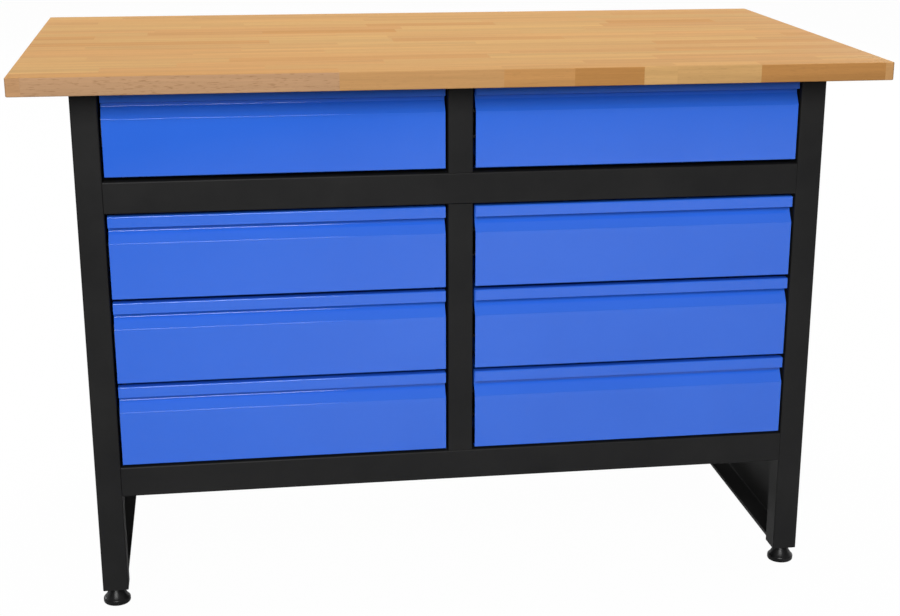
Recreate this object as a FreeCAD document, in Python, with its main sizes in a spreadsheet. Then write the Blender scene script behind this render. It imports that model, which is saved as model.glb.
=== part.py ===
import FreeCAD, Part
import Sketcher
import os

# Steel workbench with a laminated wood top, two columns of four drawers and levelling feet.
# X runs to the right, Y to the back, Z up. The origin is on the floor under the middle of the top.

doc = FreeCAD.newDocument("Workbench")
dims = doc.addObject("Spreadsheet::Sheet", "dims")

sizes = {
    # Wood top
    "worktop_width": 1350,
    "worktop_depth": 770,
    "worktop_thickness": 28,
    "worktop_height": 880,
    "worktop_corner": 4,
    "worktop_arris": 1.5,
    "front_overhang": 70,
    "rear_overhang": 70,
    "side_overhang": 83,
    # Folded steel frame
    "frame_sheet": 1.5,
    "bend_radius": 1,
    "leg_width": 41,
    "leg_return": 40,
    "leg_bottom": 28,
    "rail_height": 50,
    "rail_depth": 30,
    "post_width": 40,
    "post_depth": 40,
    "panel_sheet": 1.2,
    "panel_flange": 37.5,
    "panel_lip": 6,
    "panel_lift": 5,
    "panel_inset": 3,
    "back_sheet": 1,
    "bottom_sheet": 1,
    "bottom_gap": 0.5,
    # Drawer fronts and trays
    "front_height": 132,
    "front_sheet": 1,
    "lip_height": 17.5,
    "slot_height": 25.5,
    "band_rise": 20,
    "pocket_depth": 15,
    "drawer_gap": 6,
    "drawer_end_gap": 4,
    "drawer_side_gap": 4,
    "top_drawer_gap": 4,
    "top_drawer_lift": 7,
    "tray_sheet": 1,
    "tray_lift": 3,
    "tray_drop": 14,
    "tray_rear_gap": 5,
    # Drawer slides
    "slide_height": 45,
    "slide_stack": 13,
    "slide_sheet": 1.2,
    "slide_flange": 10,
    "slide_play": 0.4,
    "slide_setback": 45,
    "slide_rear_gap": 12,
    "slide_lift": 59,
    # Levelling feet and the plates that they screw into
    "foot_diameter": 44,
    "foot_rim": 10,
    "foot_hub": 22,
    "foot_round": 2.5,
    "stud_diameter": 10,
    "stud_socket": 12,
    "stud_above_leg": 45,
    "stud_play": 0.3,
    "plate_thickness": 4,
    "nut_diameter": 18,
    "nut_height": 8,
    # Fasteners
    "screw_diameter": 5,
    "screw_head": 9,
    "screw_head_height": 3,
    "screw_depth": 18,
    "bolt_diameter": 6,
    "bolt_head": 11,
    "bolt_head_height": 3.5,
    "bolt_nut": 10,
    "bolt_nut_height": 5,
    "bolt_end": 2,
    "hole_play": 0.2,
    "overrun": 1,
}
for row, (alias, value) in enumerate(sizes.items(), start=1):
    dims.set(f"A{row}", alias)
    dims.set(f"B{row}", str(value))
    dims.setAlias(f"B{row}", alias)
doc.recompute()

columns = {"left": -1, "right": 1}
ends = {"front": -1, "rear": 1}
drawer_count = 4
drawer_rows = range(1, drawer_count + 1)

# Planes and levels of the bench, worked out from the sizes above
underside = "(dims.worktop_height - dims.worktop_thickness)"
front_plane = "(dims.front_overhang - dims.worktop_depth / 2)"
rear_plane = "(dims.worktop_depth / 2 - dims.rear_overhang)"
frame_depth = f"({rear_plane} - {front_plane})"
rear_inside = f"({rear_plane} - dims.back_sheet)"
leg_outer = "(dims.worktop_width / 2 - dims.side_overhang)"
leg_inner = f"({leg_outer} - dims.leg_width)"
leg_centre = f"({leg_outer} - dims.leg_width / 2)"
panel_outer = f"({leg_outer} - dims.frame_sheet)"
leg_height = f"({underside} - dims.leg_bottom)"
panel_bottom = "(dims.leg_bottom + dims.panel_lift)"
foot_lines = {
    "front": f"({front_plane} + dims.leg_return / 2)",
    "rear": f"({rear_plane} - dims.leg_return / 2)",
}
stud_hole = "(dims.stud_diameter + 2 * dims.stud_play)"
rail_length = f"(2 * {leg_inner})"
opening = f"({leg_inner} - dims.post_width / 2)"
column_centre = f"(dims.post_width / 2 + {opening} / 2)"
mid_rail_top = f"({underside} - dims.top_drawer_gap - dims.front_height - dims.top_drawer_lift)"
mid_rail_bottom = f"({mid_rail_top} - dims.rail_height)"
lower_fronts = f"({drawer_count - 1} * dims.front_height)"
lower_gaps = f"({drawer_count - 2} * dims.drawer_gap + 2 * dims.drawer_end_gap)"
lower_opening = f"({lower_fronts} + {lower_gaps})"
low_rail_top = f"({mid_rail_bottom} - {lower_opening})"
low_rail_bottom = f"({low_rail_top} - dims.rail_height)"
top_rail_bottom = f"({underside} - dims.rail_height)"
outer_bend = "(dims.bend_radius + dims.frame_sheet)"

nodes = {}


def bind(thing, **expressions):
    for name, expression in expressions.items():
        thing.setExpression(name, str(expression))


def place(thing, x, y, z):
    for axis, expression in zip("xyz", (x, y, z)):
        thing.setExpression(f"Placement.Base.{axis}", str(expression))


def outline(body, role, points):
    # Closed outline on one of the body's planes, each corner held to its own two coordinates.
    sketch = body.newObject("Sketcher::SketchObject", "Outline")
    plane = next(item for item in body.Origin.OriginFeatures if item.Role == role)
    sketch.AttachmentSupport = [(plane, "")]
    sketch.MapMode = "FlatFace"
    corners = [[float(dims.evalExpression(str(part))) for part in point] for point in points]
    for here, there in zip(corners, corners[1:] + corners[:1]):
        sketch.addGeometry(Part.LineSegment(FreeCAD.Vector(*here, 0), FreeCAD.Vector(*there, 0)))
    for index in range(len(points)):
        following = (index + 1) % len(points)
        sketch.addConstraint(Sketcher.Constraint("Coincident", index, 2, following, 1))
    for index, (point, corner) in enumerate(zip(points, corners)):
        for kind, axis, expression, start in zip(("DistanceX", "DistanceY"), (-2, -1), point, corner):
            if expression == 0:
                sketch.addConstraint(Sketcher.Constraint("PointOnObject", index, 1, axis))
            else:
                number = sketch.addConstraint(Sketcher.Constraint(kind, -1, 1, index, 1, start))
                sketch.setExpression(f"Constraints[{number}]", str(expression))
    return sketch


def padded(body, role, points, length):
    pad = body.newObject("PartDesign::Pad", "Pad")
    pad.Profile = outline(body, role, points)
    bind(pad, Length=length)
    doc.recompute()
    return pad


def on_sides(item, box, sides):
    # True where a face or edge lies on every named side of the box, such as "-y" and "+z".
    limits = {"-x": "XMin", "+x": "XMax", "-y": "YMin", "+y": "YMax", "-z": "ZMin", "+z": "ZMax"}
    bounds = item.BoundBox
    for side in sides:
        level = getattr(box, limits[side])
        low = getattr(bounds, f"{side[1].upper()}Min")
        high = getattr(bounds, f"{side[1].upper()}Max")
        if max(abs(low - level), abs(high - level)) > Part.Precision.confusion():
            return False
    return True


def rounded(body, feature, corners, radius):
    # Rounds the edges of a block that lie where two of its sides meet.
    box = feature.Shape.BoundBox
    names = []
    for number, edge in enumerate(feature.Shape.Edges, start=1):
        if any(on_sides(edge, box, pair) for pair in corners):
            names.append(f"Edge{number}")
    bend = body.newObject("PartDesign::Fillet", "Bend")
    bend.Base = (feature, names)
    bind(bend, Radius=radius)
    doc.recompute()
    return bend


def block(label, size, bends, radius):
    body = doc.addObject("PartDesign::Body", label)
    width, depth, height = size
    feature = padded(body, "XY_Plane", [(0, 0), (width, 0), (width, depth), (0, depth)], height)
    if bends:
        feature = rounded(body, feature, bends, radius)
    return body, feature


def folded(label, size, wall, open_sides, bends, radius):
    # Sheet folded round a block, left open on the named sides.
    body, feature = block(label, size, bends, radius)
    box = feature.Shape.BoundBox
    names = []
    for number, face in enumerate(feature.Shape.Faces, start=1):
        if any(on_sides(face, box, [side]) for side in open_sides):
            names.append(f"Face{number}")
    shell = body.newObject("PartDesign::Thickness", "Sheet")
    shell.Base = (feature, names)
    shell.Reversed = True
    shell.Join = "Intersection"
    bind(shell, Value=wall)
    return body


def box(size, at):
    solid = doc.addObject("Part::Box", "Box")
    bind(solid, Length=size[0], Width=size[1], Height=size[2])
    place(solid, *at)
    return solid


def cylinder(diameter, length, at, along="z"):
    solid = doc.addObject("Part::Cylinder", "Cylinder")
    bind(solid, Radius=f"({diameter}) / 2", Height=length)
    if along == "x":
        solid.Placement.Rotation = FreeCAD.Rotation(FreeCAD.Vector(0, 1, 0), 90)
    place(solid, *at)
    return solid


def joined(shapes):
    union = doc.addObject("Part::MultiFuse", "Union")
    union.Shapes = shapes
    return union


def drilled(base, holes):
    cut = doc.addObject("Part::Cut", "Drilled")
    cut.Base = base
    cut.Tool = joined(holes) if len(holes) > 1 else holes[0]
    return cut


def node(name, thing):
    thing.Label = name
    nodes[name] = thing


def group(name, things):
    compound = doc.addObject("Part::Compound", "Group")
    compound.Links = things
    node(name, compound)


# Screws from below into the top, through the flange that each one holds down
side_screw_shares = (0.2, 0.5, 0.8)
rear_screw_shares = (-0.35, 0.35)
bolt_depth_share = 0.6
bolt_height_shares = (0.3, 0.7)

front_bolt_y = f"({front_plane} + {bolt_depth_share} * dims.rail_depth)"
rear_bolt_y = f"({rear_inside} - {bolt_depth_share} * dims.rail_depth)"
screw_x = f"({panel_outer} - (dims.panel_flange + dims.panel_sheet) / 2)"
screws = []
screw_holders = ("worktop", "side_panel_left", "side_panel_right", "upper_post", "top_rail_rear")
screw_holes = {holder: [] for holder in screw_holders}


def screw(holder, sheet, x, y):
    under = f"({underside} - {sheet})"
    head = cylinder("dims.screw_head", "dims.screw_head_height", (x, y, f"{under} - dims.screw_head_height"))
    shank = cylinder("dims.screw_diameter", f"{sheet} + dims.screw_depth", (x, y, under))
    screws.append(joined([head, shank]))
    hole = "dims.screw_diameter + 2 * dims.hole_play"
    pilot = cylinder(hole, "dims.screw_depth + dims.hole_play", (x, y, underside))
    screw_holes["worktop"].append(pilot)
    through = cylinder(hole, f"{sheet} + 2 * dims.overrun", (x, y, f"{under} - dims.overrun"))
    screw_holes[holder].append(through)


for side, sign in columns.items():
    for share in side_screw_shares:
        along = f"{front_plane} + {share} * {frame_depth}"
        screw(f"side_panel_{side}", "dims.panel_sheet", f"{sign} * {screw_x}", along)
for share in rear_screw_shares:
    screw("top_rail_rear", "dims.frame_sheet", f"{share} * {rail_length}", rear_bolt_y)
screw("upper_post", "dims.frame_sheet", 0, front_bolt_y)

# Bolts and nuts that clamp two sheets of the frame face to face
bolts = []
bolt_holes = {}


def bolt(holders, along, sign, x, y, z):
    # The point given is where the two sheets meet, and the head is on the negative side for sign 1.
    def beyond(distance):
        shift = f"{sign} * ({distance})"
        return (f"{x} + {shift}", y, z) if along == "x" else (x, y, f"{z} + {shift}")

    def span(start, length):
        # A solid starts at its low end, so a turned one is moved back by its own length.
        return beyond(start) if sign > 0 else beyond(f"{start} + {length}")

    sheet = "dims.frame_sheet"
    shank_length = f"(2 * {sheet} + dims.bolt_nut_height + dims.bolt_end)"
    head_at = span(f"-{sheet} - dims.bolt_head_height", "dims.bolt_head_height")
    head = cylinder("dims.bolt_head", "dims.bolt_head_height", head_at, along)
    shank = cylinder("dims.bolt_diameter", shank_length, span(f"-{sheet}", shank_length), along)
    bolts.append(joined([head, shank]))
    nut_at = span(sheet, "dims.bolt_nut_height")
    hole = "dims.bolt_diameter + 2 * dims.hole_play"
    nut = cylinder("dims.bolt_nut", "dims.bolt_nut_height", nut_at, along)
    bolts.append(drilled(nut, [cylinder(hole, "dims.bolt_nut_height", nut_at, along)]))
    hole_length = f"(2 * {sheet} + 2 * dims.overrun)"
    for holder in holders:
        drill = cylinder(hole, hole_length, span(f"-{sheet} - dims.overrun", hole_length), along)
        bolt_holes.setdefault(holder, []).append(drill)


rail_levels = {
    "mid_rail_front": ("front", mid_rail_bottom, front_bolt_y),
    "bottom_rail_front": ("front", low_rail_bottom, front_bolt_y),
    "bottom_rail_rear": ("rear", low_rail_bottom, rear_bolt_y),
    "top_rail_rear": ("rear", top_rail_bottom, rear_bolt_y),
}
for rail, (end, level, bolt_y) in rail_levels.items():
    for side, sign in columns.items():
        for share in bolt_height_shares:
            height = f"{level} + {share} * dims.rail_height"
            bolt((rail, f"leg_{end}_{side}"), "x", sign, f"{sign} * {leg_inner}", bolt_y, height)
bolt(("upper_post", "mid_rail_front"), "z", -1, 0, front_bolt_y, mid_rail_top)
bolt(("lower_post", "mid_rail_front"), "z", 1, 0, front_bolt_y, mid_rail_bottom)
bolt(("lower_post", "bottom_rail_front"), "z", -1, 0, front_bolt_y, low_rail_top)
bolt(("rear_post", "top_rail_rear"), "z", 1, 0, rear_bolt_y, top_rail_bottom)
bolt(("rear_post", "bottom_rail_rear"), "z", -1, 0, rear_bolt_y, low_rail_top)

# Wood top, with rounded corners and eased edges
body, feature = block(
    "Worktop",
    ("dims.worktop_width", "dims.worktop_depth", "dims.worktop_thickness"),
    [("-x", "-y"), ("+x", "-y"), ("-x", "+y"), ("+x", "+y")],
    "dims.worktop_corner",
)
eased = body.newObject("PartDesign::Fillet", "Arris")
slab = feature.Shape
flat = []
for number, face in enumerate(slab.Faces, start=1):
    if any(on_sides(face, slab.BoundBox, [level]) for level in ("-z", "+z")):
        flat.append(f"Face{number}")
eased.Base = (feature, flat)
bind(eased, Radius="dims.worktop_arris")
place(body, "-dims.worktop_width / 2", "-dims.worktop_depth / 2", underside)
node("worktop", drilled(body, screw_holes["worktop"]))

# Legs: channels open to the inside of the bench, with the side panels between their flanges
for side, sign in columns.items():
    for end, facing in ends.items():
        face = "-y" if facing < 0 else "+y"
        body = folded(
            "Leg",
            ("dims.leg_width", "dims.leg_return", leg_height),
            "dims.frame_sheet",
            ["+y" if facing < 0 else "-y", "-z", "+z"],
            [("-x", face), ("+x", face)],
            outer_bend,
        )
        across = f"{sign} * {leg_centre} - dims.leg_width / 2"
        along = front_plane if facing < 0 else f"{rear_plane} - dims.leg_return"
        place(body, across, along, "dims.leg_bottom")
        node(f"leg_{end}_{side}", drilled(body, bolt_holes[f"leg_{end}_{side}"]))

# Side panels: the bottom flange is as wide as the legs, with a turned-up lip between them
panel_depth = f"({frame_depth} - 2 * (dims.frame_sheet + dims.panel_inset))"
flange_edge = f"({panel_outer} - dims.panel_flange)"
lip_length = f"({frame_depth} - 2 * dims.leg_return)"
for side, sign in columns.items():
    outward = "-x" if sign < 0 else "+x"
    inward = "+x" if sign < 0 else "-x"
    body = folded(
        "Panel",
        ("dims.panel_flange", panel_depth, f"{underside} - {panel_bottom}"),
        "dims.panel_sheet",
        [inward, "-y", "+y"],
        [(outward, "-z"), (outward, "+z")],
        "dims.bend_radius + dims.panel_sheet",
    )
    across = f"-{panel_outer}" if sign < 0 else f"{panel_outer} - dims.panel_flange"
    place(body, across, f"{front_plane} + dims.frame_sheet + dims.panel_inset", panel_bottom)
    lip_x = f"-{flange_edge} - dims.panel_sheet" if sign < 0 else flange_edge
    lip_at = (lip_x, f"{front_plane} + dims.leg_return", panel_bottom)
    lip = box(("dims.panel_sheet", lip_length, "dims.panel_lip"), lip_at)
    holes = list(screw_holes[f"side_panel_{side}"])
    for along in foot_lines.values():
        hole_at = (f"{sign} * {leg_centre}", along, f"{panel_bottom} - dims.overrun")
        holes.append(cylinder(stud_hole, "dims.panel_sheet + 2 * dims.overrun", hole_at))
    node(f"side_panel_{side}", drilled(joined([body, lip]), holes))

# Rails: pans folded on four sides, bolted between the legs
for rail, (end, level, bolt_y) in rail_levels.items():
    face = "-y" if end == "front" else "+y"
    body = folded(
        "Rail",
        (rail_length, "dims.rail_depth", "dims.rail_height"),
        "dims.frame_sheet",
        ["+y" if end == "front" else "-y"],
        [(face, "-z"), (face, "+z")],
        outer_bend,
    )
    along = front_plane if end == "front" else f"{rear_inside} - dims.rail_depth"
    place(body, f"-{leg_inner}", along, level)
    node(rail, drilled(body, bolt_holes[rail] + screw_holes.get(rail, [])))

# Posts: the front one stands in two lengths, above and below the middle rail
posts = {
    "upper_post": ("-y", "+y", front_plane, mid_rail_top, underside),
    "lower_post": ("-y", "+y", front_plane, low_rail_top, mid_rail_bottom),
    "rear_post": ("+y", "-y", f"{rear_inside} - dims.post_depth", low_rail_top, top_rail_bottom),
}
for post, (face, open_side, along, bottom, top) in posts.items():
    body = folded(
        "Post",
        ("dims.post_width", "dims.post_depth", f"{top} - {bottom}"),
        "dims.frame_sheet",
        [open_side],
        [("-x", face), ("+x", face)],
        outer_bend,
    )
    place(body, "-dims.post_width / 2", along, bottom)
    node(post, drilled(body, bolt_holes[post] + screw_holes.get(post, [])))

# Sheet that closes the back of the drawer bays
back = box(
    (rail_length, "dims.back_sheet", f"{underside} - {low_rail_bottom}"),
    (f"-{leg_inner}", rear_inside, low_rail_bottom),
)
node("back_panel", back)

# Sheet that closes the drawer bays below, under the rails and out to the side panels between the legs
bottom_front = f"({front_plane} + dims.rail_depth / 2)"
bottom_level = f"({low_rail_bottom} - dims.bottom_sheet)"
bottom_side = f"({panel_outer} - dims.panel_sheet - dims.bottom_gap)"
leg_line = f"({front_plane} + dims.leg_return + dims.bottom_gap)"
under_rails = box(
    (rail_length, f"{rear_plane} - {bottom_front}", "dims.bottom_sheet"),
    (f"-{leg_inner}", bottom_front, bottom_level),
)
between_legs = box(
    (f"2 * {bottom_side}", f"{frame_depth} - 2 * (dims.leg_return + dims.bottom_gap)", "dims.bottom_sheet"),
    (f"-{bottom_side}", leg_line, bottom_level),
)
node("bottom_panel", joined([under_rails, between_legs]))

# Drawers: a folded front with a finger pocket under its lip, welded to an open tray
pocket_back = "(dims.pocket_depth + dims.front_sheet)"
front_width = f"({opening} - 2 * dims.drawer_side_gap)"
flat_top = "(dims.front_height - dims.lip_height - dims.slot_height)"
band_top = f"({flat_top} + dims.band_rise)"
band_turn = "(dims.front_sheet * tan(atan(dims.pocket_depth / dims.band_rise) / 2))"
lip_bottom = "(dims.front_height - dims.lip_height)"
lip_inside = "(dims.front_height - dims.front_sheet)"
# Corners of the folded sheet from its bottom flange up, each with the side of its bend
front_corners = [
    (pocket_back, 0, None),
    (0, 0, "outside"),
    (0, flat_top, "outside"),
    ("dims.pocket_depth", band_top, "inside"),
    ("dims.pocket_depth", lip_inside, "inside"),
    ("dims.front_sheet", lip_inside, "inside"),
    ("dims.front_sheet", lip_bottom, None),
    (0, lip_bottom, None),
    (0, "dims.front_height", "outside"),
    (pocket_back, "dims.front_height", "outside"),
    (pocket_back, f"{band_top} - {band_turn}", "outside"),
    ("dims.front_sheet", f"{flat_top} - {band_turn}", "inside"),
    ("dims.front_sheet", "dims.front_sheet", "inside"),
    (pocket_back, "dims.front_sheet", None),
]


def bend_corners(body, feature, sketch, bend_side, radius):
    lines = zip(sketch.Geometry, front_corners)
    places = [line.StartPoint for line, corner in lines if corner[2] == bend_side]
    names = []
    for number, edge in enumerate(feature.Shape.Edges, start=1):
        for spot in places:
            line = FreeCAD.Vector(0, spot.x, spot.y)
            gaps = [FreeCAD.Vector(0, end.Y, end.Z).distanceToPoint(line) for end in edge.Vertexes]
            if max(gaps) < Part.Precision.confusion():
                names.append(f"Edge{number}")
    bend = body.newObject("PartDesign::Fillet", "Bend")
    bend.Base = (feature, names)
    bind(bend, Radius=radius)
    doc.recompute()
    return bend


def drawer_bottom(row):
    if row == drawer_rows[0]:
        return f"({mid_rail_top} + dims.top_drawer_lift)"
    below = row - drawer_rows[1]
    first = f"{mid_rail_bottom} - dims.drawer_end_gap - dims.front_height"
    return f"({first} - {below} * (dims.front_height + dims.drawer_gap))"


def drawer_front(name, centre, bottom):
    body = doc.addObject("PartDesign::Body", "Front")
    points = [(depth, height) for depth, height, bend_side in front_corners]
    feature = padded(body, "YZ_Plane", points, front_width)
    sketch = feature.Profile[0]
    feature = bend_corners(body, feature, sketch, "outside", "dims.bend_radius + dims.front_sheet")
    bend_corners(body, feature, sketch, "inside", "dims.bend_radius")
    place(body, f"{centre} - {front_width} / 2", front_plane, bottom)
    node(name, body)


def drawer_tray(name, centre, bottom):
    # The floor and both sides are one folded sheet, with a wall welded on at each end.
    width = f"({opening} - 2 * dims.slide_stack)"
    depth = f"({rear_inside} - dims.rail_depth - dims.tray_rear_gap - {front_plane} - {pocket_back})"
    height = "(dims.front_height - dims.tray_lift - dims.tray_drop)"
    sheet = "dims.tray_sheet"
    across = f"{centre} - {width} / 2"
    along = f"{front_plane} + {pocket_back}"
    level = f"{bottom} + dims.tray_lift"
    trough = folded(
        "Trough",
        (width, f"{depth} - 2 * {sheet}", height),
        sheet,
        ["-y", "+y", "+z"],
        [("-x", "-z"), ("+x", "-z")],
        f"dims.bend_radius + {sheet}",
    )
    place(trough, across, f"{along} + {sheet}", level)
    front_wall = box((width, sheet, height), (across, along, level))
    rear_wall = box((width, sheet, height), (across, f"{along} + {depth} - {sheet}", level))
    group(name, [trough, front_wall, rear_wall])


# Telescopic slides: three nested channels a side, the outer on the frame and the inner on the tray
slide_length = f"({frame_depth} - dims.slide_setback - dims.slide_rear_gap)"
slide_step = "(dims.slide_sheet + dims.slide_play)"


def channel(nesting, outward, sign, wall_x, middle_z):
    # The web lies away from the wall by as many steps as the channel is nested in the others.
    height = f"(dims.slide_height - {2 * nesting} * {slide_step})"
    inset = f"({nesting} * {slide_step})"
    flange = "dims.slide_flange"
    sheet = "dims.slide_sheet"
    y = f"{front_plane} + dims.slide_setback"
    z = f"{middle_z} - {height} / 2"

    def across(start, width):
        return f"{wall_x} + {start}" if sign > 0 else f"{wall_x} - {start} - {width}"

    start = inset if outward else f"(dims.slide_stack - {flange})"
    whole = box((flange, slide_length, height), (across(start, flange), y, z))
    hollow_width = f"({flange} - {sheet} + dims.overrun)"
    hollow_start = f"({inset} + {sheet})" if outward else f"(dims.slide_stack - {flange} - dims.overrun)"
    hollow_size = (hollow_width, f"{slide_length} + 2 * dims.overrun", f"{height} - 2 * {sheet}")
    hollow_at = (across(hollow_start, hollow_width), f"{y} - dims.overrun", f"{z} + {sheet}")
    return drilled(whole, [box(hollow_size, hollow_at)])


outer_channels = []
for side, sign in columns.items():
    centre = f"({sign} * {column_centre})"
    for row in drawer_rows:
        bottom = drawer_bottom(row)
        middle = f"({bottom} + dims.tray_lift + dims.slide_lift)"
        drawer_front(f"{side}_drawer_{row}_front", centre, bottom)
        drawer_tray(f"{side}_drawer_{row}_tray", centre, bottom)
        walls = {1: f"({centre} - {opening} / 2)", -1: f"({centre} + {opening} / 2)"}
        outer_channels += [channel(0, True, turn, wall, middle) for turn, wall in walls.items()]
        group(
            f"{side}_drawer_{row}_middle_slides",
            [channel(1, True, turn, wall, middle) for turn, wall in walls.items()],
        )
        group(
            f"{side}_drawer_{row}_inner_slides",
            [channel(2, False, turn, wall, middle) for turn, wall in walls.items()],
        )
group("outer_slides", outer_channels)

# Levelling feet: a moulded pad on a threaded stud, in a plate with a nut inside each leg
foot_points = [
    (0, 0),
    ("dims.foot_diameter / 2", 0),
    ("dims.foot_diameter / 2", "dims.foot_rim"),
    ("dims.foot_hub / 2", "dims.leg_bottom"),
    ("dims.stud_diameter / 2", "dims.leg_bottom"),
    ("dims.stud_diameter / 2", "dims.leg_bottom - dims.stud_socket"),
    (0, "dims.leg_bottom - dims.stud_socket"),
]
plates = []


def widest(edge, width):
    # True for the round edges of a turned piece that lie at its full width.
    bounds = edge.BoundBox
    flat = bounds.ZLength < Part.Precision.confusion()
    return flat and abs(bounds.XLength - width) < Part.Precision.confusion()


for side, sign in columns.items():
    for end, facing in ends.items():
        x = f"({sign} * {leg_centre})"
        y = foot_lines[end]

        body = doc.addObject("PartDesign::Body", "Foot")
        turned = body.newObject("PartDesign::Revolution", "Turned")
        turned.Profile = outline(body, "XZ_Plane", foot_points)
        turned.ReferenceAxis = (turned.Profile[0], ["V_Axis"])
        doc.recompute()
        width = turned.Shape.BoundBox.XLength
        rims = [f"Edge{n}" for n, edge in enumerate(turned.Shape.Edges, start=1) if widest(edge, width)]
        softened = body.newObject("PartDesign::Fillet", "Rim")
        softened.Base = (turned, rims)
        bind(softened, Radius="dims.foot_round")
        place(body, x, y, 0)
        node(f"foot_{end}_{side}_pad", body)

        stud_length = "dims.stud_socket + dims.stud_above_leg"
        stud = cylinder("dims.stud_diameter", stud_length, (x, y, "dims.leg_bottom - dims.stud_socket"))
        node(f"foot_{end}_{side}_stud", stud)

        seat = f"({panel_bottom} + dims.panel_sheet)"
        inner = f"({leg_inner} + dims.frame_sheet)"
        width = f"({panel_outer} - dims.panel_sheet - dims.bend_radius - {inner})"
        depth = f"(dims.leg_return - {outer_bend})"
        across = f"{inner}" if sign > 0 else f"-{inner} - {width}"
        along = f"{front_plane} + {outer_bend}" if facing < 0 else f"{rear_plane} - {outer_bend} - {depth}"
        plate = box((width, depth, "dims.plate_thickness"), (across, along, seat))
        nut = cylinder("dims.nut_diameter", "dims.nut_height", (x, y, f"{seat} + dims.plate_thickness"))
        hole_length = "dims.plate_thickness + dims.nut_height + 2 * dims.overrun"
        hole = cylinder(stud_hole, hole_length, (x, y, f"{seat} - dims.overrun"))
        plates.append(drilled(joined([plate, nut]), [hole]))
group("leg_base_plates", plates)
group("worktop_screws", screws)
group("frame_bolts", bolts)

doc.recompute()
for thing in doc.Objects:
    if "Invalid" in thing.State or "Error" in thing.State:
        raise RuntimeError(f"{thing.Label} failed: {thing.State}")
for name, thing in nodes.items():
    if thing.Shape.isNull() or not thing.Shape.isValid() or not thing.Shape.Solids:
        raise RuntimeError(f"{name} has no valid solid")

os.makedirs("parts", exist_ok=True)
for name, thing in nodes.items():
    thing.Shape.exportStep(os.path.join("parts", f"{name}.step"))
    print(f"{name}: {len(thing.Shape.Solids)} solids, {thing.Shape.Volume:.0f} mm3")
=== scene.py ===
import random
from math import radians

import bmesh
import bpy
from mathutils import Matrix, Vector


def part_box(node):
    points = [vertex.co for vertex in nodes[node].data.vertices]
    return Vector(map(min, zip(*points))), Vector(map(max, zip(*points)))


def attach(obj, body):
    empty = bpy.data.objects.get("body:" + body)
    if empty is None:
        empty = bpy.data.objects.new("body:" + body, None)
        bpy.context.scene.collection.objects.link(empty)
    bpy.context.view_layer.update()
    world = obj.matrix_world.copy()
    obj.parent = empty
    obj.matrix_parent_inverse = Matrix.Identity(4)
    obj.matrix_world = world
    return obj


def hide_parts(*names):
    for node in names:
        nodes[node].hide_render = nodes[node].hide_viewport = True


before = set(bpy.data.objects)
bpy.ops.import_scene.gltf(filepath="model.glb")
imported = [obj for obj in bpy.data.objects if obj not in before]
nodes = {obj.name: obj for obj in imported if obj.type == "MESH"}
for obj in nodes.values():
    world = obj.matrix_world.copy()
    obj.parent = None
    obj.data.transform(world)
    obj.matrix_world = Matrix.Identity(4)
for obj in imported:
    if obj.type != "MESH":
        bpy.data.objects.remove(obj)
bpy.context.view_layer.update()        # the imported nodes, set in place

sides = ("left", "right")
rows = (1, 2, 3, 4)        # 1 is the drawer under the worktop
drawers = [f"{side}_drawer_{row}" for side in sides for row in rows]
feet = [f"foot_{end}_{side}" for end in ("front", "rear") for side in sides]
hair = 0.0005        # how near counts as touching when edges and faces are picked
bendAngle = 40        # bends flatter than this are shaded smooth
print("bench loaded,", len(nodes), "nodes")


# picking and shaping, as in the viewport
def nothingPicked():
    if bpy.context.mode != "OBJECT":
        bpy.ops.object.mode_set(mode="OBJECT")
    bpy.ops.object.select_all(action="DESELECT")


def openMesh(piece):
    nothingPicked()
    bpy.context.view_layer.objects.active = piece
    piece.select_set(True)
    bpy.ops.object.mode_set(mode="EDIT")


def pickAllFaces():
    bpy.ops.mesh.select_mode(type="FACE")
    bpy.ops.mesh.select_all(action="SELECT")


def pickFaces(piece, wanted):
    bpy.ops.mesh.select_mode(type="FACE")
    bpy.ops.mesh.select_all(action="DESELECT")
    for face in bmesh.from_edit_mesh(piece.data).faces:
        if wanted(face.calc_center_median(), face.normal):
            face.select_set(True)
    bmesh.update_edit_mesh(piece.data)


def pickEdges(piece, wanted):
    bpy.ops.mesh.select_mode(type="EDGE")
    bpy.ops.mesh.select_all(action="DESELECT")
    for edge in bmesh.from_edit_mesh(piece.data).edges:
        start, end = (corner.co for corner in edge.verts)
        if wanted((start + end) / 2, (end - start).normalized()):
            edge.select_set(True)
    bmesh.update_edit_mesh(piece.data)


def along(way, axis):        # an edge that runs with x, y or z
    return abs(way["xyz".index(axis)]) > 0.9


def level(way):
    return abs(way.z) < 0.1


def pullOut(move):        # extrude what is picked, the new end stays picked
    bpy.ops.mesh.extrude_region_move(TRANSFORM_OT_translate={"value": move})


def softenPicked(width, steps):
    bpy.ops.mesh.bevel(offset=width, offset_type="OFFSET", segments=steps, profile=0.5)


def applied(piece, kind, **settings):
    nothingPicked()
    bpy.context.view_layer.objects.active = piece
    change = piece.modifiers.new(kind.title(), kind)
    for key, value in settings.items():
        setattr(change, key, value)
    bpy.ops.object.modifier_apply(modifier=change.name)


def thickened(piece, sheet):        # the wall grows inwards from the drawn face
    applied(piece, "SOLIDIFY", thickness=sheet, offset=-1.0, use_even_offset=True, use_rim=True)


def newPiece(name, size=None):        # the primitive just added, its place and size put in the mesh
    piece = bpy.context.object
    piece.name = name
    piece.data.name = name
    if size:
        piece.scale = size
    bpy.ops.object.transform_apply(location=True, rotation=True, scale=True)
    return piece


def copyOf(piece, name, move, turn=0.0):
    double = piece.copy()
    double.data = piece.data.copy()
    double.name = name
    double.data.name = name
    double.data.transform(Matrix.Translation(move) @ Matrix.Rotation(turn, 4, "Z"))
    bpy.context.scene.collection.objects.link(double)
    return double


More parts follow.
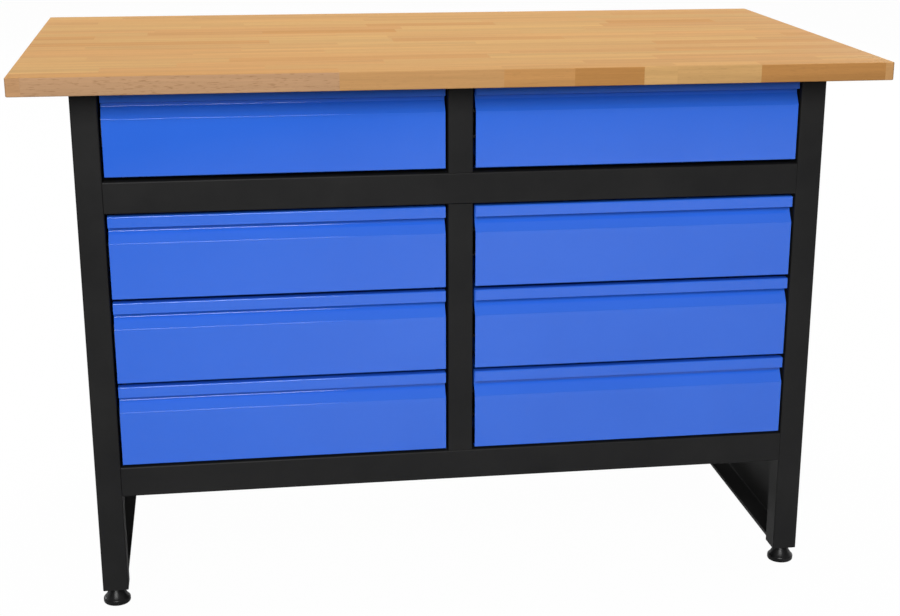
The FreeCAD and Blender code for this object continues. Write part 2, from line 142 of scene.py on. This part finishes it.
def joinedUp(name, pieces):
    nothingPicked()
    for piece in pieces:
        piece.select_set(True)
    bpy.context.view_layer.objects.active = pieces[0]
    bpy.ops.object.join()
    pieces[0].name = name
    pieces[0].data.name = name
    return pieces[0]


def smoothed(piece, angle):
    nothingPicked()
    piece.select_set(True)
    bpy.context.view_layer.objects.active = piece
    bpy.ops.object.shade_smooth_by_angle(angle=radians(angle))


def dressed(piece, finish, body, slot, *replaced):
    piece.data.materials.clear()
    piece.data.materials.append(finish)
    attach(piece, body)
    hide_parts(*replaced)


# finishes
def startFinish(name):
    finish = bpy.data.materials.new(name)
    finish.use_nodes = True
    return finish, finish.node_tree, finish.node_tree.nodes["Principled BSDF"]


def put(tree, kind, inputs=None, **settings):
    node = tree.nodes.new(kind)
    for key, value in settings.items():
        setattr(node, key, value)
    for key, value in (inputs or {}).items():
        node.inputs[key].default_value = value
    return node


def noiseOn(tree, vector, scale=1.0, detail=3.0, rough=0.5, distortion=0.0, stretch=None):
    if stretch:        # drawn out along the piece
        mapping = put(tree, "ShaderNodeMapping", {"Scale": stretch})
        tree.links.new(vector, mapping.inputs["Vector"])
        vector = mapping.outputs["Vector"]
    settings = {"Scale": scale, "Detail": detail, "Roughness": rough, "Distortion": distortion}
    noise = put(tree, "ShaderNodeTexNoise", settings)
    tree.links.new(vector, noise.inputs["Vector"])
    return noise.outputs["Fac"]


def ranged(tree, value, span, result):
    settings = {"From Min": span[0], "From Max": span[1], "To Min": result[0], "To Max": result[1]}
    mapped = put(tree, "ShaderNodeMapRange", settings)
    tree.links.new(value, mapped.inputs["Value"])
    return mapped.outputs["Result"]


def worked(tree, operation, first, second=0.0):
    math = put(tree, "ShaderNodeMath", operation=operation)
    for socket, value in zip(math.inputs, (first, second)):
        if isinstance(value, (int, float)):
            socket.default_value = value
        else:
            tree.links.new(value, socket)
    return math.outputs["Value"]


def mixed(tree, factor, first, second):
    mix = put(tree, "ShaderNodeMix", data_type="RGBA")
    for name, value in (("Factor_Float", factor), ("A_Color", first), ("B_Color", second)):
        socket = next(s for s in mix.inputs if s.identifier == name)
        if isinstance(value, bpy.types.NodeSocket):
            tree.links.new(value, socket)
        else:
            socket.default_value = value
    return next(s for s in mix.outputs if s.identifier == "Result_Color")


def bumped(tree, shader, height, strength, distance):
    bump = put(tree, "ShaderNodeBump", {"Strength": strength, "Distance": distance})
    tree.links.new(height, bump.inputs["Height"])
    tree.links.new(bump.outputs["Normal"], shader.inputs["Normal"])


def shade(red, green, blue):
    return (red, green, blue, 1.0)


woodLook = {
    "tones": (        # stave tones from pale to rosy, at their place on the ramp
        (0.00, shade(0.575, 0.342, 0.137)),
        (0.30, shade(0.550, 0.300, 0.120)),
        (0.50, shade(0.520, 0.262, 0.090)),
        (0.75, shade(0.462, 0.220, 0.066)),
        (1.00, shade(0.505, 0.300, 0.163)),
    ),
    "streak": {"stretch": (1.3, 42.0, 42.0), "detail": 6.0, "rough": 0.62, "distortion": 0.6},
    "fibre": {"stretch": (9.0, 420.0, 420.0), "rough": 0.6},
    "pores": {"stretch": (75.0, 620.0, 620.0), "detail": 2.0},
    "rings": {"stretch": (30.0, 95.0, 240.0), "detail": 5.0, "rough": 0.6, "distortion": 1.4},
    "grainSpan": (0.2, 0.8),
    "streakLight": (0.82, 1.16),
    "fibreLight": (0.94, 1.06),
    "poreSpan": (0.57, 0.70),
    "poreColour": shade(0.26, 0.130, 0.055),
    "openTones": (0.70, 1.0),        # the rosy staves are more open
    "openPores": (0.14, 0.50),
    "ringSpan": (0.3, 0.7),
    "ringShare": (0.10, 0.60),
    "endColour": shade(0.36, 0.175, 0.062),
    "endFacing": 0.7,        # a face turned this far to the side shows end grain
    "roughness": (0.50, 0.62),
    "specular": 0.01,
    "bump": (0.10, 0.0004),
}


def oiledWood():        # staves read their tone and their own piece of grain from the mesh
    look = woodLook
    finish, tree, shader = startFinish("oiled_staves")
    place = put(tree, "ShaderNodeTexCoord").outputs["Object"]
    tone = put(tree, "ShaderNodeAttribute", attribute_name="tone").outputs["Fac"]
    cut = put(tree, "ShaderNodeAttribute", attribute_name="cut").outputs["Vector"]
    moved = put(tree, "ShaderNodeVectorMath", operation="ADD")
    tree.links.new(place, moved.inputs[0])
    tree.links.new(cut, moved.inputs[1])
    grainPlace = moved.outputs["Vector"]

    ramp = put(tree, "ShaderNodeValToRGB")
    stops = ramp.color_ramp.elements
    stops[0].color, stops[1].color = look["tones"][0][1], look["tones"][-1][1]
    for spot, colour in look["tones"][1:-1]:
        stops.new(spot).color = colour
    tree.links.new(tone, ramp.inputs["Fac"])

    streak = noiseOn(tree, grainPlace, **look["streak"])
    fibre = noiseOn(tree, grainPlace, **look["fibre"])
    streakLight = ranged(tree, streak, look["grainSpan"], look["streakLight"])
    fibreLight = ranged(tree, fibre, look["grainSpan"], look["fibreLight"])
    lit = put(tree, "ShaderNodeVectorMath", operation="SCALE")
    tree.links.new(ramp.outputs["Color"], lit.inputs[0])
    tree.links.new(worked(tree, "MULTIPLY", streakLight, fibreLight), lit.inputs["Scale"])
    plain = lit.outputs["Vector"]

    porous = ranged(tree, noiseOn(tree, grainPlace, **look["pores"]), look["poreSpan"], (0.0, 1.0))
    openness = ranged(tree, tone, look["openTones"], look["openPores"])
    sideGrain = mixed(tree, worked(tree, "MULTIPLY", porous, openness), plain, look["poreColour"])
    rings = noiseOn(tree, grainPlace, **look["rings"])
    ringed = ranged(tree, rings, look["ringSpan"], look["ringShare"])
    endGrain = mixed(tree, ringed, plain, look["endColour"])
    facing = put(tree, "ShaderNodeSeparateXYZ")
    tree.links.new(put(tree, "ShaderNodeNewGeometry").outputs["Normal"], facing.inputs["Vector"])
    sideways = worked(tree, "ABSOLUTE", facing.outputs["X"])
    onEnd = worked(tree, "GREATER_THAN", sideways, look["endFacing"])
    tree.links.new(mixed(tree, onEnd, sideGrain, endGrain), shader.inputs["Base Color"])
    rough = ranged(tree, streak, look["grainSpan"], look["roughness"])
    tree.links.new(rough, shader.inputs["Roughness"])
    shader.inputs["Specular IOR Level"].default_value = look["specular"]
    bumped(tree, shader, worked(tree, "SUBTRACT", fibre, porous), *look["bump"])
    return finish


framePaintLook = {
    "tones": (shade(0.0108, 0.0108, 0.0110), shade(0.0158, 0.0156, 0.0154)),
    "cloud": {"scale": 7.0, "detail": 5.0, "rough": 0.6},
    "cloudSpan": (0.3, 0.7),
    "roughSpan": (0.25, 0.75),
    "roughness": (0.36, 0.48),
    "surface": {"scale": 900.0, "detail": 2.0},
    "bump": (0.10, 0.0005),
    "sockets": {"Specular IOR Level": 0.12},
}
drawerPaintLook = {
    "tones": (shade(0.024, 0.134, 0.710), shade(0.028, 0.148, 0.755)),
    "cloud": {"scale": 4.5, "detail": 4.0, "rough": 0.55},
    "cloudSpan": (0.2, 0.8),
    "wipe": {"stretch": (9.0, 9.0, 3.0), "detail": 2.0},        # wiped with a cloth
    "roughSpan": (0.0, 1.0),
    "roughness": (0.13, 0.20),
    "surface": {"scale": 130.0, "detail": 2.0},        # a little orange peel
    "bump": (0.15, 0.0005),
    "sockets": {"Specular IOR Level": 0.10, "Coat Weight": 0.75, "Coat Roughness": 0.05},
}
zincLook = {
    "tones": (shade(0.62, 0.63, 0.65), shade(0.44, 0.45, 0.47)),
    "cloud": {"scale": 45.0, "detail": 5.0, "rough": 0.65},
    "cloudSpan": (0.3, 0.7),
    "roughSpan": (0.25, 0.75),
    "roughness": (0.28, 0.46),
    "surface": {"stretch": (900.0, 9.0, 900.0)},        # drawn along the rolls
    "bump": (0.08, 0.0002),
    "sockets": {"Metallic": 1.0},
}
# the slides' zinc is darkened far below bright plate: painted shade for the narrow gaps the slides
# are seen through
slidePaintedShadeLook = dict(zincLook, tones=(shade(0.15, 0.15, 0.154), shade(0.09, 0.09, 0.094)))
plasticLook = {
    "tones": (shade(0.0050, 0.0050, 0.0053), shade(0.0120, 0.0120, 0.0120)),
    "cloud": {"scale": 60.0, "detail": 4.0, "rough": 0.6},
    "cloudSpan": (0.35, 0.7),
    "roughSpan": (0.25, 0.75),
    "roughness": (0.24, 0.38),
    "surface": {"scale": 1600.0, "detail": 1.0},
    "bump": (0.06, 0.0003),
    "sockets": {"Specular IOR Level": 0.20},
}


def cloudedFinish(name, look):        # two close tones that drift over a fine surface
    finish, tree, shader = startFinish(name)
    place = put(tree, "ShaderNodeTexCoord").outputs["Object"]
    cloud = noiseOn(tree, place, **look["cloud"])
    patch = ranged(tree, cloud, look["cloudSpan"], (0.0, 1.0))
    tree.links.new(mixed(tree, patch, *look["tones"]), shader.inputs["Base Color"])
    wear = noiseOn(tree, place, **look["wipe"]) if "wipe" in look else cloud
    rough = ranged(tree, wear, look["roughSpan"], look["roughness"])
    tree.links.new(rough, shader.inputs["Roughness"])
    for socket, value in look["sockets"].items():
        shader.inputs[socket].default_value = value
    bumped(tree, shader, noiseOn(tree, place, **look["surface"]), *look["bump"])
    return finish


wood = oiledWood()
black = cloudedFinish("black_powder_coat", framePaintLook)
blue = cloudedFinish("gloss_blue_paint", drawerPaintLook)
plastic = cloudedFinish("moulded_foot_plastic", plasticLook)
zinc = cloudedFinish("zinc_plated_steel", zincLook)
slideSteelPaintedShade = cloudedFinish("oiled_slide_steel", slidePaintedShadeLook)
print("finishes made")


# worktop glued up from staves, front row laid out as on the bench
worktopLook = {
    "corner": 0.004,
    "cornerSteps": 5,
    "arris": 0.0015,
    "arrisSteps": 4,
    "staveWidth": 0.0428,
    "frontJoints": (-0.6532, -0.192, 0.056, 0.165, 0.2733, 0.3253, 0.4591, 0.6603),
    "frontTones": (0.93, 1.00, 0.30, 0.48, 0.72, 0.00, 0.03, 0.76, 0.34),
    "frontFade": 0.8,        # from above the front row hardly stands out
    "upFacing": 0.7,
    "tone": (0.17, 0.15),        # middle and spread of the other rows
    "firstJoint": (0.05, 0.40),
    "staveLengths": (0.19, 0.52),
    "shortestEnd": 0.03,
    "grainShift": 5.0,        # how far apart the staves were cut from the wood
    "smoothAngle": 35,
    "seed": 41,
}


def makeWorktop():
    look = worktopLook
    low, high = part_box("worktop")
    draw = random.Random(look["seed"])
    nothingPicked()
    bpy.ops.mesh.primitive_cube_add(size=1, location=(low + high) / 2)
    top = newPiece("worktop_staves", high - low)
    openMesh(top)
    pickEdges(top, lambda middle, way: along(way, "z"))
    softenPicked(look["corner"], look["cornerSteps"])
    pickEdges(top, lambda middle, way: level(way))
    softenPicked(look["arris"], look["arrisSteps"])

    rowCount = round((high.y - low.y) / look["staveWidth"])
    width = (high.y - low.y) / rowCount
    layout = []
    for row in range(rowCount):
        if row:
            bpy.ops.mesh.select_all(action="SELECT")
            bpy.ops.mesh.bisect(plane_co=(0, low.y + row * width, 0), plane_no=(0, 1, 0))
        joints = [] if row else list(look["frontJoints"])
        spot = low.x + draw.uniform(*look["firstJoint"])
        while row and spot < high.x - look["shortestEnd"]:
            joints.append(spot)
            spot += draw.uniform(*look["staveLengths"])
        layout.append(joints)
    tones = []
    for row, joints in enumerate(layout):
        near, far = low.y + row * width - hair, low.y + (row + 1) * width + hair
        for joint in joints:
            pickFaces(top, lambda middle, way: near < middle.y < far)
            bpy.ops.mesh.bisect(plane_co=(joint, 0, 0), plane_no=(1, 0, 0))
        drawn = look["frontTones"]
        if row:
            drawn = [draw.gauss(*look["tone"]) for _ in range(len(joints) + 1)]
        tones.append([min(1.0, max(0.0, tone)) for tone in drawn])
    shift = look["grainShift"]
    cuts = [[[draw.uniform(-shift, shift) for _ in range(3)] for _ in line] for line in tones]
    nothingPicked()

    toneOf = top.data.attributes.new("tone", "FLOAT", "FACE")
    cutOf = top.data.attributes.new("cut", "FLOAT_VECTOR", "FACE")
    for face in top.data.polygons:
        row = min(rowCount - 1, max(0, int((face.center.y - low.y) / width)))
        stave = sum(face.center.x > joint for joint in layout[row])
        tone = tones[row][stave]
        if row == 0 and face.normal.z > look["upFacing"]:
            tone += (look["tone"][0] - tone) * look["frontFade"]
        toneOf.data[face.index].value = tone
        cutOf.data[face.index].vector = cuts[row][stave]
    smoothed(top, look["smoothAngle"])
    dressed(top, wood, "frame", "laminated_wood", "worktop")
    print("worktop made,", sum(len(line) for line in tones), "staves")


makeWorktop()


# drawer fronts, each one folded sheet with its grip hidden behind the lip
frontLook = {
    "flat": 0.089,
    "bandRise": 0.0178,
    "gripDepth": 0.015,
    "gripLean": 0.003,        # the back of the grip leans away from the lip
    "lip": 0.0175,
    "flange": 0.016,
    "sheet": 0.001,
    "innerBend": 0.001,
    "gripBend": 0.0006,
    "bendSteps": 5,
    "cutEdge": 0.0003,
    "cutSteps": 2,
    "cutAngle": 30,
}


def makeFront():
    low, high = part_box("left_drawer_2_front")
    width, height = high.x - low.x, high.z - low.z
    sheet, grip, lean = frontLook["sheet"], frontLook["gripDepth"], frontLook["gripLean"]
    flat, bandTop = frontLook["flat"], frontLook["flat"] + frontLook["bandRise"]
    inner, steps = frontLook["innerBend"], frontLook["bendSteps"]
    nothingPicked()
    upright = (radians(90), 0, 0)
    bpy.ops.mesh.primitive_plane_add(size=1, location=(0, 0, flat / 2), rotation=upright)
    front = newPiece("drawer_front", (width, flat, 1))
    openMesh(front)
    pickEdges(front, lambda middle, way: along(way, "x") and middle.z > flat - hair)
    pullOut((0, grip - lean, bandTop - flat))        # band sloping back into the grip
    pullOut((0, lean, height - sheet - bandTop))        # back of the grip
    pullOut((0, sheet - grip, 0))        # over the fingers
    pullOut((0, 0, sheet - frontLook["lip"]))        # lip hanging down in front
    pickEdges(front, lambda middle, way: along(way, "x") and middle.z < hair)
    pullOut((0, frontLook["flange"], 0))

    def isBend(middle, way):
        return along(way, "x") and abs(middle.x) < hair

    pickEdges(front, lambda m, w: isBend(m, w) and m.z < hair and m.y < hair)
    softenPicked(inner + sheet, steps)
    pickEdges(front, lambda m, w: isBend(m, w) and abs(m.z - bandTop) < hair)
    softenPicked(frontLook["gripBend"], steps)
    pickEdges(front, lambda m, w: isBend(m, w) and m.z > height - sheet - hair)
    softenPicked(inner, steps)
    thickened(front, sheet)
    edge = {"width": frontLook["cutEdge"], "segments": frontLook["cutSteps"]}
    edge["angle_limit"] = radians(frontLook["cutAngle"])
    applied(front, "BEVEL", limit_method="ANGLE", **edge)
    smoothed(front, bendAngle)
    applied(front, "WEIGHTED_NORMAL", keep_sharp=True)        # flats stay flat beside their bends
    return front


frontMaster = makeFront()
for name in drawers:
    low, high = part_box(f"{name}_front")
    spot = Vector(((low.x + high.x) / 2, low.y, low.z))
    front = copyOf(frontMaster, f"{name}_folded_front", spot)
    dressed(front, blue, name, "drawer_paint", f"{name}_front")
bpy.data.objects.remove(frontMaster)
print("drawer fronts folded")


# drawer trays, folded up and turned in along the top
trayLook = {
    "sheet": 0.001,
    "turnIn": 0.008,
    "footBend": 0.002,
    "rimBend": 0.0015,
    "bendSteps": 4,
    "corner": 0.0008,
    "cornerSteps": 2,
}


def makeTray():
    low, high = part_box("left_drawer_2_tray")
    size = high - low
    nothingPicked()
    bpy.ops.mesh.primitive_plane_add(size=1)
    tray = newPiece("drawer_tray", (size.x, size.y, 1))
    openMesh(tray)
    pickAllFaces()
    pullOut((0, 0, size.z))
    bpy.ops.mesh.inset(thickness=trayLook["turnIn"])
    bpy.ops.mesh.select_all(action="SELECT")
    bpy.ops.mesh.normals_make_consistent(inside=False)

    def isLid(middle, way):
        return way.z > 0 and along(way, "z") and Vector((middle.x, middle.y)).length < hair

    pickFaces(tray, isLid)
    bpy.ops.mesh.delete(type="ONLY_FACE")        # open at the top

    def onWall(middle):
        return abs(middle.x) > size.x / 2 - hair or abs(middle.y) > size.y / 2 - hair

    pickEdges(tray, lambda m, w: level(w) and onWall(m) and m.z < hair)
    softenPicked(trayLook["footBend"], trayLook["bendSteps"])
    pickEdges(tray, lambda m, w: level(w) and onWall(m) and m.z > size.z - hair)
    softenPicked(trayLook["rimBend"], trayLook["bendSteps"])
    pickEdges(tray, lambda m, w: along(w, "z") and abs(m.z - size.z / 2) < size.z / 4)
    softenPicked(trayLook["corner"], trayLook["cornerSteps"])
    thickened(tray, trayLook["sheet"])
    smoothed(tray, bendAngle)
    return tray


trayMaster = makeTray()
for name in drawers:
    low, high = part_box(f"{name}_tray")
    spot = Vector(((low.x + high.x) / 2, (low.y + high.y) / 2, low.z))
    tray = copyOf(trayMaster, f"{name}_folded_tray", spot)
    dressed(tray, blue, name, "drawer_paint", f"{name}_tray")
bpy.data.objects.remove(trayMaster)
print("trays folded")


# telescopic slides, three drilled channels a side
channelLook = {
    "flange": 0.010,
    "sheet": 0.0012,
    "step": 0.0016,        # from one channel to the next
    "bend": 0.0014,
    "bendSteps": 3,
    "hole": 0.0022,
    "holeSteps": 20,
    "holeShares": (0.05, 0.12, 0.31, 0.69, 0.88, 0.95),        # along the channel
}


def makeChannel(name, height, length):
    flange = channelLook["flange"]
    nothingPicked()
    bpy.ops.mesh.primitive_plane_add(size=1, rotation=(0, radians(-90), 0))
    channel = newPiece(name, (height, length, 1))
    openMesh(channel)
    pickEdges(channel, lambda middle, way: along(way, "y"))
    pullOut((flange, 0, 0))
    pickEdges(channel, lambda middle, way: along(way, "y") and middle.x < hair)
    softenPicked(channelLook["bend"], channelLook["bendSteps"])
    thickened(channel, channelLook["sheet"])
    for share in channelLook["holeShares"]:
        bpy.ops.mesh.primitive_cylinder_add(
            vertices=channelLook["holeSteps"],
            radius=channelLook["hole"],
            depth=flange,
            location=(0, (share - 0.5) * length, 0),
            rotation=(0, radians(90), 0),
        )
        drill = bpy.context.object
        applied(channel, "BOOLEAN", object=drill, operation="DIFFERENCE", solver="EXACT")
        bpy.data.objects.remove(drill)
    smoothed(channel, bendAngle)
    return channel


def channelPair(name, master, leftWeb, rightWeb, middle, facing):        # open sides in, or out
    turns = (0.0, radians(180)) if facing else (radians(180), 0.0)
    places = [Vector((web, middle.y, middle.z)) for web in (leftWeb, rightWeb)]
    return [copyOf(master, name + end, *way) for end, way in zip(("_a", "_b"), zip(places, turns))]


low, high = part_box("left_drawer_2_middle_slides")
length, middleHeight = high.y - low.y, high.z - low.z
step, flange = channelLook["step"], channelLook["flange"]
outerMaster = makeChannel("outer_channel", middleHeight + 2 * step, length)
middleMaster = makeChannel("middle_channel", middleHeight, length)
innerMaster = makeChannel("inner_channel", middleHeight - 2 * step, length)
outerChannels = []
for name in drawers:
    low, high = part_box(f"{name}_middle_slides")
    middle = (low + high) / 2
    outerWebs = (low.x - step, high.x + step)
    outerChannels += channelPair(f"{name}_outer", outerMaster, *outerWebs, middle, True)
    pair = channelPair(f"{name}_middle", middleMaster, low.x, high.x, middle, True)
    runner = joinedUp(f"{name}_middle_channels", pair)
    runnerBody = name.replace("drawer", "runner")
    dressed(runner, slideSteelPaintedShade, runnerBody, "zinc_steel", f"{name}_middle_slides")
    low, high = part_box(f"{name}_inner_slides")
    innerWebs = (low.x + flange, high.x - flange)
    pair = channelPair(f"{name}_inner", innerMaster, *innerWebs, middle, False)
    inner = joinedUp(f"{name}_inner_channels", pair)
    dressed(inner, slideSteelPaintedShade, name, "zinc_steel", f"{name}_inner_slides")
outer = joinedUp("outer_channels", outerChannels)
dressed(outer, slideSteelPaintedShade, "frame", "zinc_steel", "outer_slides")
for master in (outerMaster, middleMaster, innerMaster):
    bpy.data.objects.remove(master)
print("slides drilled")


# levelling feet, turned outlines as (height, radius)
footLook = {
    "sole": (0.0, 0.0195),
    "outline": (
        (0.0004, 0.0204), (0.0012, 0.0213), (0.0024, 0.0219), (0.0036, 0.0220), (0.0072, 0.0220),
        (0.0085, 0.0217), (0.0095, 0.0210), (0.0103, 0.0200), (0.0118, 0.0188), (0.0140, 0.0172),
        (0.0170, 0.0153), (0.0200, 0.0138), (0.0235, 0.0124), (0.0262, 0.0114), (0.0273, 0.0112),
        (0.0280, 0.0107),
    ),
    "rimSteps": 56,
    "threadPitch": 0.0015,
    "threadDepth": 0.0009,
    "threadLead": 0.001,        # plain length below the first turn
    "ridge": (0.15, 0.45, 0.60, 0.90),        # root, crest, crest, root along one turn
    "tipTaper": 0.0005,
    "threadSteps": 28,
}


def turnedPiece(name, base, outline, steps):
    nothingPicked()
    height, radius = base
    spot = Vector((0, 0, height))
    ring = {"vertices": steps, "radius": radius, "fill_type": "NGON"}
    bpy.ops.mesh.primitive_circle_add(location=spot, **ring)
    piece = newPiece(name)
    openMesh(piece)
    pickAllFaces()
    for nextHeight, nextRadius in outline:
        pullOut((0, 0, nextHeight - height))
        spot.z = nextHeight
        share = nextRadius / radius
        bpy.ops.transform.resize(value=(share, share, 1), center_override=spot)
        height, radius = nextHeight, nextRadius
    bpy.ops.mesh.select_all(action="SELECT")
    bpy.ops.mesh.normals_make_consistent(inside=False)
    smoothed(piece, bendAngle)
    return piece


def threadOutline(low, high, radius):
    pitch, root = footLook["threadPitch"], radius - footLook["threadDepth"]
    outline, height = [], low + footLook["threadLead"]
    while height < high - pitch:
        reach = (root, radius, radius, root)
        outline += [(height + pitch * part, out) for part, out in zip(footLook["ridge"], reach)]
        height += pitch
    return outline + [(high, root - footLook["tipTaper"])]


padMaster = turnedPiece("foot_pad", footLook["sole"], footLook["outline"], footLook["rimSteps"])
studLow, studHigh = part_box("foot_front_left_stud")
studRadius = (studHigh.x - studLow.x) / 2
studBase = (studLow.z, studRadius - footLook["threadDepth"])
studOutline = threadOutline(studLow.z, studHigh.z, studRadius)
studMaster = turnedPiece("foot_stud", studBase, studOutline, footLook["threadSteps"])
for name in feet:
    low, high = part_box(f"{name}_pad")
    spot = Vector(((low.x + high.x) / 2, (low.y + high.y) / 2, 0))
    pad = copyOf(padMaster, f"{name}_moulding", spot)
    dressed(pad, plastic, name, "foot_plastic", f"{name}_pad")
    stud = copyOf(studMaster, f"{name}_thread", spot)
    dressed(stud, zinc, name, "zinc_steel", f"{name}_stud")
for master in (padMaster, studMaster):
    bpy.data.objects.remove(master)
print("feet turned")


# the rest keeps its sheet metal shape and takes its finish
fasteners = ("worktop_screws", "frame_bolts")
for name, node in nodes.items():
    finish = zinc if name in fasteners else black
    for index in range(len(node.material_slots)):
        node.material_slots[index].material = finish
    if not node.material_slots:
        node.data.materials.append(finish)
print("sheet metal painted")


# pale studio floor, soft light and the camera
studioLook = {
    "floorSize": 60.0,
    "floorTone": shade(0.25, 0.25, 0.25),        # what the floor throws back onto the bench
    "floorNoise": {"scale": 3.0},
    "floorNoiseSpan": (0.3, 0.7),
    "floorRoughness": (0.85, 0.95),
    "paper": 0.94,        # how much of the floor is plain white to the camera
    "paperGlow": 1.045,
    "paperMiddle": (3.0, -1.0, 0.0),        # in reflections the floor's tone fades to dark away from here: a painted pool of light
    "paperFade": (3.05, 4.95),
    "paperTones": (0.95, 0.05),
    "sky": 0.06,
    "ceiling": 0.42,
    "backdropRise": (0.35, 0.70),        # height at which white turns into ceiling
    "behindCamera": 0.10,        # reflected horizon on the drawers' side of the room
    "roomRise": (0.15, 0.60),
    "roomTurn": (-0.2, 0.2),        # from that side to the backdrop
    "cameraPlace": (-0.3729, -2.8616, 1.2412),
    "cameraTurn": (72.3067, -0.2846, -9.0324),
    "sensor": 36.0,
    "lens": 66.591,
    "shift": (-0.03607, 0.04462),
    "sight": 100.0,
}


def anyRay(tree, *kinds):
    path = put(tree, "ShaderNodeLightPath").outputs
    found = path[kinds[0]]
    for kind in kinds[1:]:
        found = worked(tree, "MAXIMUM", found, path[kind])
    return found


def makeFloor():
    look = studioLook
    nothingPicked()
    bpy.ops.mesh.primitive_plane_add(size=look["floorSize"])
    floor = newPiece("studio_floor")
    finish, tree, shader = startFinish("studio_paper")
    place = put(tree, "ShaderNodeTexCoord").outputs["Object"]
    away = put(tree, "ShaderNodeVectorMath", {1: look["paperMiddle"]}, operation="DISTANCE")
    tree.links.new(place, away.inputs[0])
    # what reflections see of the floor: near-white round the bench and dark further off, a painted
    # pool of light
    paintedPoolTone = ranged(tree, away.outputs["Value"], look["paperFade"], look["paperTones"])
    tone = mixed(tree, anyRay(tree, "Is Glossy Ray"), look["floorTone"], paintedPoolTone)
    tree.links.new(tone, shader.inputs["Base Color"])
    noise = noiseOn(tree, place, **look["floorNoise"])
    rough = ranged(tree, noise, look["floorNoiseSpan"], look["floorRoughness"])
    tree.links.new(rough, shader.inputs["Roughness"])
    shader.inputs["Specular IOR Level"].default_value = 0.0
    glow = put(tree, "ShaderNodeEmission", {"Color": shade(1, 1, 1), "Strength": look["paperGlow"]})
    blend = put(tree, "ShaderNodeMixShader")
    seen = anyRay(tree, "Is Camera Ray", "Is Transmission Ray")
    tree.links.new(worked(tree, "MULTIPLY", seen, look["paper"]), blend.inputs["Fac"])
    tree.links.new(shader.outputs["BSDF"], blend.inputs[1])
    tree.links.new(glow.outputs["Emission"], blend.inputs[2])
    tree.links.new(blend.outputs["Shader"], tree.nodes["Material Output"].inputs["Surface"])
    floor.data.materials.append(finish)


def makeSky():
    look = studioLook
    world = bpy.data.worlds.new("studio")
    bpy.context.scene.world = world
    world.use_nodes = True
    tree = world.node_tree
    sky = tree.nodes["Background"]
    sky.inputs["Color"].default_value = shade(1, 1, 1)
    way = put(tree, "ShaderNodeSeparateXYZ")
    tree.links.new(put(tree, "ShaderNodeTexCoord").outputs["Generated"], way.inputs["Vector"])
    height, depth = way.outputs["Z"], way.outputs["Y"]
    backdrop = ranged(tree, height, look["backdropRise"], (1.0, look["ceiling"]))
    room = ranged(tree, height, look["roomRise"], (look["behindCamera"], look["ceiling"]))
    mirrored = mixed(tree, ranged(tree, depth, look["roomTurn"], (0.0, 1.0)), room, backdrop)
    direct = anyRay(tree, "Is Camera Ray", "Is Transmission Ray")
    seen = worked(tree, "MULTIPLY", direct, backdrop)
    shown = worked(tree, "MULTIPLY", anyRay(tree, "Is Glossy Ray"), mirrored)
    white = worked(tree, "MAXIMUM", seen, shown)
    tree.links.new(worked(tree, "MAXIMUM", white, look["sky"]), sky.inputs["Strength"])


lamps = {        # place, aim, width, height, power
    "key": ((-1.3, -6.3, 3.5), (0.0, -0.2, 0.6), 3.2, 3.4, 452.0),
    "overhead": ((0.2, 0.3, 3.4), (0.0, 0.0, 0.8), 2.4, 1.6, 38.0),
    "backLeft": ((-4.6, 4.2, 3.0), (0.0, 0.2, 0.5), 3.0, 2.0, 245.0),
    "backRight": ((4.6, 4.2, 3.0), (0.0, 0.2, 0.5), 3.0, 2.0, 245.0),
}


def makeLamp(name, place, aim, width, height, power):
    nothingPicked()
    bpy.ops.object.light_add(type="AREA", location=place)
    lamp = bpy.context.object
    lamp.name = f"lamp_{name}"
    lamp.rotation_euler = (Vector(aim) - Vector(place)).to_track_quat("-Z", "Y").to_euler()
    lamp.data.shape = "RECTANGLE"
    lamp.data.size, lamp.data.size_y = width, height
    lamp.data.energy = power


def makeCamera():
    nothingPicked()
    turn = [radians(angle) for angle in studioLook["cameraTurn"]]
    bpy.ops.object.camera_add(location=studioLook["cameraPlace"], rotation=turn)
    camera = bpy.context.object
    camera.data.sensor_fit = "HORIZONTAL"
    camera.data.sensor_width = studioLook["sensor"]
    camera.data.lens = studioLook["lens"]
    camera.data.shift_x, camera.data.shift_y = studioLook["shift"]
    camera.data.clip_end = studioLook["sight"]
    bpy.context.scene.camera = camera


makeFloor()
makeSky()
for name, settings in lamps.items():
    makeLamp(name, *settings)
makeCamera()
bpy.context.scene.view_settings.view_transform = "Standard"
print("studio set up")
